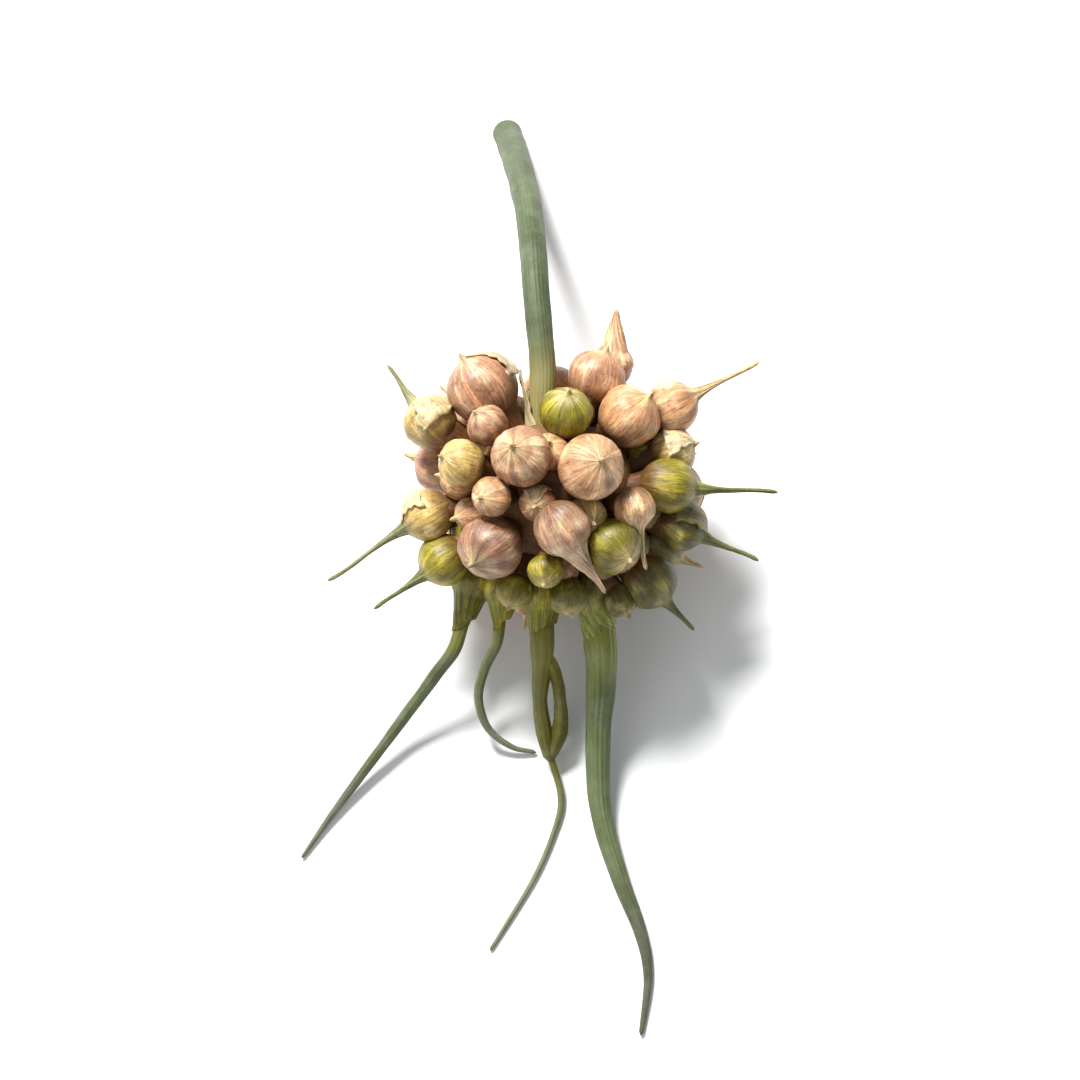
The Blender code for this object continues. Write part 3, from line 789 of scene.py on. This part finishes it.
class Material:
    """A material's nodes, and short ways to add to them."""

    def __init__(self, name):
        self.made = bpy.data.materials.new(name)
        self.made.use_nodes = True
        self.nodes = self.made.node_tree.nodes
        self.links = self.made.node_tree.links
        self.shader = self.nodes["Principled BSDF"]

    def attribute(self, name, output):
        """A named value of the mesh's points."""
        node = self.nodes.new("ShaderNodeAttribute")
        node.attribute_name = name
        return node.outputs[output]

    def noise(self, place, scale, detail=3.0, roughness=0.6):
        """A smooth noise over the given places."""
        node = self.nodes.new("ShaderNodeTexNoise")
        node.inputs["Scale"].default_value = scale
        node.inputs["Detail"].default_value = detail
        node.inputs["Roughness"].default_value = roughness
        self.links.new(place, node.inputs["Vector"])
        return node.outputs["Fac"]

    def spread(self, value, start, end, low, high):
        """The value's range from start to end, mapped from low to high."""
        node = self.nodes.new("ShaderNodeMapRange")
        node.inputs["From Min"].default_value = start
        node.inputs["From Max"].default_value = end
        node.inputs["To Min"].default_value = low
        node.inputs["To Max"].default_value = high
        self.links.new(value, node.inputs["Value"])
        return node.outputs["Result"]

    def ridge(self, value, width, depth):
        """Thin lines of the given depth where the value passes its middle."""
        below = self.math("SUBTRACT", value, 0.5)
        return self.spread(self.math("ABSOLUTE", below), 0.0, width, depth, 0.0)

    def math(self, operation, one, two=None):
        """An operation on one or two values, each a socket or a number."""
        node = self.nodes.new("ShaderNodeMath")
        node.operation = operation
        for socket, value in zip(node.inputs, (one, two)):
            if isinstance(value, (int, float)):
                socket.default_value = value
            elif value is not None:
                self.links.new(value, socket)
        return node.outputs["Value"]

    def mix(self, one, two, share=1.0, how="MIX"):
        """Two colours mixed. Each is a socket or a colour, and the share a socket or a number."""
        node = self.nodes.new("ShaderNodeMix")
        node.data_type = "RGBA"
        node.blend_type = how
        for name, value in (("Factor", share), ("A", one), ("B", two)):
            socket = next(s for s in node.inputs if s.name == name and s.enabled)
            if isinstance(value, bpy.types.NodeSocket):
                self.links.new(value, socket)
            elif name == "Factor":
                socket.default_value = value
            else:
                socket.default_value = (*value, 1.0)
        return next(s for s in node.outputs if s.enabled)

    def raise_by(self, height, strength, distance):
        """Raise the surface's look by a height of 0 to 1 times the distance."""
        node = self.nodes.new("ShaderNodeBump")
        node.inputs["Strength"].default_value = strength
        node.inputs["Distance"].default_value = distance
        self.links.new(height, node.inputs["Height"])
        self.links.new(node.outputs["Normal"], self.shader.inputs["Normal"])

    def finish(self, colour, roughness, scatter=0.0, coat=0.0, gloss=0.5):
        """Connect the colour and roughness, and set how the flesh scatters light."""
        self.shader.inputs["Specular IOR Level"].default_value = gloss
        self.links.new(colour, self.shader.inputs["Base Color"])
        if isinstance(roughness, float):
            self.shader.inputs["Roughness"].default_value = roughness
        else:
            self.links.new(roughness, self.shader.inputs["Roughness"])
        self.shader.inputs["Subsurface Weight"].default_value = scatter
        self.shader.inputs["Subsurface Radius"].default_value = SCATTER_REACH
        self.shader.inputs["Subsurface Scale"].default_value = SCATTER_SCALE
        self.shader.inputs["Coat Weight"].default_value = coat
        self.shader.inputs["Coat Roughness"].default_value = COAT_ROUGHNESS
        return self.made


def object_place(material):
    """Places in the object's own metres."""
    return material.nodes.new("ShaderNodeTexCoord").outputs["Object"]


def papery_skin():
    """Dry bulbil skin: fine streaks, thin veins, papery patches, small specks and wrinkles."""
    made = Material("bulbil_skin")
    along = made.attribute("vein_place", "Vector")
    place = object_place(made)
    fine = made.noise(along, 6.0, 5.0, 0.65)
    coarse = made.noise(along, 2.6, 2.0)
    veins = made.ridge(coarse, 0.035, 1.0)
    patches = made.spread(made.noise(along, 0.9, 4.0, 0.7), 0.54, 0.60, 0.0, 1.0)
    grain = made.noise(place, 1900.0, 3.0, 0.7)
    specks = made.spread(made.noise(place, 1100.0, 1.0), 0.66, 0.72, 0.0, 1.0)

    colour = made.attribute("skin_colour", "Color")
    shade = made.spread(fine, 0.3, 0.7, 0.62, 1.32)
    colour = made.mix(colour, shade, 1.0, "MULTIPLY")
    colour = made.mix(colour, PATCH_LIGHTER, patches, "MULTIPLY")
    dark = made.mix(colour, VEIN_DARKER, 1.0, "MULTIPLY")
    colour = made.mix(colour, dark, made.math("MULTIPLY", veins, 0.55))
    colour = made.mix(colour, dark, made.math("MULTIPLY", specks, 0.6))
    colour = made.mix(colour, made.spread(grain, 0.3, 0.7, 0.80, 1.17), 1.0, "MULTIPLY")

    height = made.math("ADD", made.math("MULTIPLY", fine, 0.9), made.math("MULTIPLY", grain, 0.5))
    height = made.math("ADD", height, made.math("MULTIPLY", patches, 0.35))
    height = made.math("SUBTRACT", height, made.math("MULTIPLY", veins, 0.25))
    made.raise_by(height, 0.6, 0.16 * MM)
    roughness = made.spread(patches, 0.0, 1.0, 0.44, 0.62)
    return made.finish(colour, roughness, 0.10, 0.06)


def green_skin(name, streak, roughness, coat, bloom_share):
    """Waxy leaf or stalk: fine ribs along it, a pale bloom in patches, and small specks."""
    made = Material(name)
    along = made.attribute("vein_place", "Vector")
    place = object_place(made)
    fine = made.noise(along, 5.0, 4.0, 0.6)
    bloom = made.spread(made.noise(place, 260.0, 4.0, 0.65), 0.42, 0.66, 0.0, bloom_share)
    specks = made.spread(made.noise(place, 1300.0, 1.0), 0.68, 0.73, 0.0, 0.5)
    colour = made.attribute("skin_colour", "Color")
    colour = made.mix(colour, made.spread(fine, 0.3, 0.7, 1 - streak, 1 + streak), 1.0, "MULTIPLY")
    colour = made.mix(colour, BLOOM, bloom)
    colour = made.mix(colour, LEAF_SPECK, specks)
    made.raise_by(fine, 0.45, 0.12 * MM)
    return made.finish(colour, roughness, 0.08, coat, 0.35)


def receptacle_skin():
    """The rough flesh between the bulbils' feet."""
    made = Material("receptacle_skin")
    place = object_place(made)
    rough = made.noise(place, 700.0, 5.0, 0.7)
    colour = made.mix(made.attribute("skin_colour", "Color"),
                      made.spread(rough, 0.3, 0.7, 0.6, 1.35), 1.0, "MULTIPLY")
    made.raise_by(rough, 0.7, 0.3 * MM)
    return made.finish(colour, 0.75)


# Pieces


def build_bulbils(skin):
    """The bulbils, gathered in one piece for each kind of skin, and their torn outer skins."""
    rng = random.Random(SEED + 1)
    shapes = {kind: Shape() for kind in SKINS}
    feet, loose = Shape(), Shape()
    for number, bulbil in enumerate(all_bulbils()):
        # The darker tint of number 18 is painted shade
        tint_and_shade = np.array(TINTS_AND_SHADE.get(number, (1, 1, 1)))
        fine = FineBulbil(bulbil, rng, HUSK_TAPERS.get(number), tint_and_shade)
        fine.add_skin(shapes[bulbil.skin])
        fine.add_foot(feet, bulbil)
        hidden = number > len(SHOWN) + len(LEAVES)
        if number in LOOSE_SHOWN or (hidden and number % LOOSE_EVERY == 0):
            add_loose_skin(loose, fine, rng)
    made = [shape.make(f"bulbils_{kind}", skin) for kind, shape in shapes.items()]
    made += [feet.make("bulbil_feet", skin), loose.make("loose_skins", skin)]
    for piece in made:
        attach(piece, "root")
    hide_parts("bulbil_head")


def build_receptacle(skin):
    """The swollen end of the stalk, which shows only in the gaps between bulbils, coloured in
    painted shade.
    """
    rows, sides = CORE_GRID
    dark, warm = linear(CORE_SHADE_DARK), linear(CORE_SHADE_WARM)
    points, colours = [], []
    for i in range(rows + 1):
        polar = math.pi * (i + 0.02) / (rows + 0.04)
        for k in range(sides):
            turn = 2 * math.pi * k / sides
            ray = Vector((math.sin(polar) * math.cos(turn), math.cos(polar),
                          math.sin(polar) * math.sin(turn)))
            bumpy = 1 + CORE_BUMP * noise.noise(ray * 6)
            points.append(in_world(Vector(ray[j] * CORE[j] for j in range(3)) * bumpy))
            colours.append(blend(dark, warm, 0.5 + 0.5 * noise.noise(ray * 9)))
    faces = [face[::-1] for face in ring_faces(rows + 1, sides)]
    faces += [tuple(range(sides)), tuple(range(rows * sides, (rows + 1) * sides))[::-1]]
    shape = Shape()
    shape.add(points, faces, colours, [tuple(p) for p in points])
    piece = shape.make("receptacle", skin)
    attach(piece, "root")


Bract = namedtuple("Bract", "turn length width flare")

# Torn papery bracts that wrap the stalk's foot. A turn of 0 degrees faces across, and 90 out.
BRACTS = (
    Bract(168, 8.6, 4.6, 1.0),
    Bract(50, 6.0, 3.6, 1.3),
    Bract(290, 7.4, 4.6, 1.6),
    Bract(232, 5.2, 3.2, 0.9),
)
BRACT_FOOT = Vector((-1.86, 9.4, 2.30)) * MM
BRACT_HEADING = Vector((0.3, 10.0, 2.2)).normalized()
BRACT_GRID = (26, 14)  # rows and columns
BRACT_THICK = 0.14 * MM


def build_bracts(skin):
    """The torn remains of the papery spathe that once wrapped the whole head."""
    rows, columns = BRACT_GRID
    shape = Shape()
    across = Vector((1, 0, 0))
    out = across.cross(BRACT_HEADING).normalized()
    for number, bract in enumerate(BRACTS):
        grid, colours = [], []
        for i in range(rows + 1):
            up = i / rows
            row, tints = [], []
            narrow = (1 - up**1.7) * (1 + 0.25 * noise.noise(Vector((up * 5, number * 9, 0))))
            away = SCAPE_RADIUS + (0.35 + bract.flare * up * up) * MM
            half = bract.width / 2 * MM / away
            for j in range(columns + 1):
                side = 2 * j / columns - 1
                turn = math.radians(bract.turn) + side * half * narrow
                ray = across * math.cos(turn) + out * math.sin(turn)
                crumple = 0.35 * MM * up * noise.noise(Vector((up * 4, side * 2.5, number * 5)))
                torn = 0.8 * MM * noise.noise(Vector((side * 4, number * 3, 1))) * up
                place = BRACT_FOOT + BRACT_HEADING * (bract.length * up * MM + torn)
                place = place + ray * (away + crumple + 0.25 * MM * side * side)
                row.append((in_world(place), in_world(place + ray) - in_world(place)))
                streak = 0.82 + 0.4 * noise.noise(Vector((side * 7, up, number)))
                tints.append(linear(BRACT_PAPER) * streak)
            grid.append(row)
            colours.append(tints)
        add_sheet(shape, grid, colours, BRACT_THICK)
    piece = shape.make("bracts", skin)
    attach(piece, "root")


def stalk_route():
    """The stalk from inside the receptacle to its cut end."""
    neck = [in_world(Vector(point) * MM) for point in NECK_ROUTE]
    free = [Vector(point) * MM for point in SCAPE_ROUTE]
    last = len(free) - 1
    radii = [SCAPE_RADIUS] * len(neck)
    radii += [SCAPE_RADIUS + (SCAPE_CUT_RADIUS - SCAPE_RADIUS) * i / last for i in range(last + 1)]
    return smooth_route(neck + free, radii)


def build_scape(skin):
    """The stalk, with its hollow cut end."""
    # The green and the pale are painted shade; the straw foot and the cut face are the stalk's own
    # colours
    green, pale, foot, cut = (linear(c) for c in (SHADED_SCAPE_GREEN, SHADED_SCAPE_PALE, SCAPE_FOOT, CUT))
    shape = Shape()
    route = stalk_route()

    def outside(share, turn):
        """The mottled outside, which is straw-coloured at its foot."""
        spot = Vector((share * 7, 1.5 * math.cos(turn), 1.5 * math.sin(turn)))
        mottle = min(1.0, max(0.0, 0.5 + 0.9 * noise.noise(spot)))
        return blend(foot, blend(green, pale, mottle), ramp(share, *STRAW_FOOT))

    add_tube(shape, route, outside, STALK_SIDES, STALK_RIBS, STALK_RIB, seed=3.0, cap=False)
    end, middle = route[-1][1], route[-1][0]
    inner = [(place, LUMEN_RADIUS) for place, _ in route[-LUMEN_RINGS:]][::-1]
    # The hollow darkens further in, as painted shade
    add_tube(shape, inner, lambda share, turn: cut * (0.75 - 0.6 * share), LUMEN_SIDES,
             LUMEN_RIBS, LUMEN_RIB, seed=5.0, cap=False)
    _, _, side, up, _ = tube_frames(route)[-1]
    points, colours, veins = [], [], []
    wall = end - LUMEN_RADIUS
    for share, out in CUT_PROFILE:
        for k in range(LUMEN_SIDES):
            turn = 2 * math.pi * k / LUMEN_SIDES
            ray = side * math.cos(turn) + up * math.sin(turn)
            uneven = out * (1 + noise.noise(ray * 2)) * MM
            points.append(middle + ray * (end - wall * share) + side.cross(up) * uneven)
            colours.append(blend(cut, green, 0.5 * abs(1 - 2 * share) ** 3))
            veins.append((math.cos(turn) * 2, math.sin(turn) * 2, share))
    shape.add(points, ring_faces(len(CUT_PROFILE), LUMEN_SIDES), colours, veins)
    piece = shape.make("stalk", skin)
    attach(piece, "root")
    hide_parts("scape")


def leaf_colour(base, mid, tip, turn_at, dry_at):
    """Colour along a leaf, from its sheath to its dry tip."""
    base, mid, tip = linear(base), linear(mid), linear(tip)

    def at(share, turn):
        """The leaf's mottled colour there."""
        mottle = 1 + 0.22 * noise.noise(Vector((share * 16, math.cos(turn), math.sin(turn))))
        if share < turn_at:
            return blend(base, mid, ramp(share, 0.0, turn_at)) * mottle
        return blend(mid, tip, ramp(share, dry_at, 0.5 + 0.5 * dry_at)) * mottle

    return at


def build_leaf(name, leaf, skin):
    """One sprouted leaf."""
    points = [Vector(point) * MM for point in leaf.route]
    radii = [radius * SLIM.get(name, 1.0) * MM for radius in leaf.radii]
    heading = (points[0] - in_world(Vector(leaf.bulbil[:3]) * MM)).normalized()
    route = smooth_route(points, radii, heading, blunt=SHEATH_END if leaf.branch else None)
    route.insert(0, (route[0][0] - heading * SHEATHED, radii[0] * SHEATHED_WIDTH))
    ahead = (route[-1][0] - route[-2][0]).normalized()
    route.append((route[-1][0] + ahead * radii[-1] * TIP_REACH, radii[-1] * TIP_WIDTH))
    shape = Shape()
    colour = leaf_colour(*LEAF_COLOURS[name])
    ribs = LEAF_RIBS[name]
    add_tube(shape, route, colour, LEAF_RIB_SIDES * ribs, ribs, LEAF_RIB, seed=len(name))
    if leaf.branch:
        strand = smooth_route([Vector(point) * MM for point in leaf.branch],
                              [radius * MM for radius in STRAND_RADII])
        low, middle = LEAF_COLOURS[name][:2]
        colour = leaf_colour(low, middle, middle, *STRAND_TURNS)
        add_tube(shape, strand, colour, STRAND_SIDES, STRAND_RIBS, STRAND_RIB)
    piece = shape.make(f"fine_{name}", skin)
    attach(piece, "root")
    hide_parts(name)


# Surroundings

SURFACE_GREY = (0.82, 0.82, 0.82, 1)
SURFACE_ROUGHNESS = 0.85
SKY = (0.94, 0.97, 1.0, 1)
SKY_STRENGTH = 0.42
LIGHT_AIM = Vector((0, 0, 0.015))

Light = namedtuple("Light", "name place size power")

LIGHTS = (
    Light("key", (-0.20, 0.34, 0.50), 0.16, 9.5),
    Light("fill", (-0.35, -0.40, 0.45), 0.50, 1.0),
)


def build_surroundings():
    """A pale surface, a soft sky, a key light from the stalk's end, and a faint fill."""
    bpy.ops.mesh.primitive_plane_add(size=4)
    floor = bpy.context.active_object
    floor.name = "surface"
    made = Material("surface")
    made.shader.inputs["Base Color"].default_value = SURFACE_GREY
    made.shader.inputs["Roughness"].default_value = SURFACE_ROUGHNESS
    floor.data.materials.append(made.made)

    world = bpy.data.worlds.new("sky")
    world.use_nodes = True
    sky = world.node_tree.nodes["Background"]
    sky.inputs["Color"].default_value = SKY
    sky.inputs["Strength"].default_value = SKY_STRENGTH
    bpy.context.scene.world = world

    for light in LIGHTS:
        lamp = bpy.data.lights.new(light.name, "AREA")
        lamp.size = light.size
        lamp.energy = light.power
        holder = bpy.data.objects.new(light.name, lamp)
        holder.location = light.place
        aim = LIGHT_AIM - Vector(light.place)
        holder.rotation_euler = aim.to_track_quat("-Z", "Y").to_euler()
        bpy.context.scene.collection.objects.link(holder)


CAMERA_ELEVATION = math.radians(72)
CAMERA_DISTANCE = 0.67
CAMERA_LENS = 150
CAMERA_SENSOR = 36
AIM = Vector((-0.002, -0.0045, 0.010))


def build_camera():
    """A long lens that looks down on the head's best side."""
    data = bpy.data.cameras.new("camera")
    data.lens = CAMERA_LENS
    data.sensor_width = CAMERA_SENSOR
    camera = bpy.data.objects.new("camera", data)
    back = Vector((0, -math.cos(CAMERA_ELEVATION), math.sin(CAMERA_ELEVATION)))
    camera.location = AIM + back * CAMERA_DISTANCE
    camera.rotation_euler = (-back).to_track_quat("-Z", "Y").to_euler()
    bpy.context.scene.collection.objects.link(camera)
    bpy.context.scene.camera = camera


def build():
    """The dressed topset, and what stands round it for the picture."""
    bulbil_skin = papery_skin()
    build_bulbils(bulbil_skin)
    build_bracts(bulbil_skin)
    build_receptacle(receptacle_skin())
    build_scape(green_skin("stalk_skin", 0.16, 0.58, 0.02, 0.20))
    leaf_skin = green_skin("leaf_skin", 0.22, 0.50, 0.04, 0.22)
    for name, leaf in LEAVES.items():
        build_leaf(name, leaf, leaf_skin)
    build_surroundings()
    build_camera()
    bpy.context.scene.view_settings.view_transform = "Standard"


build()
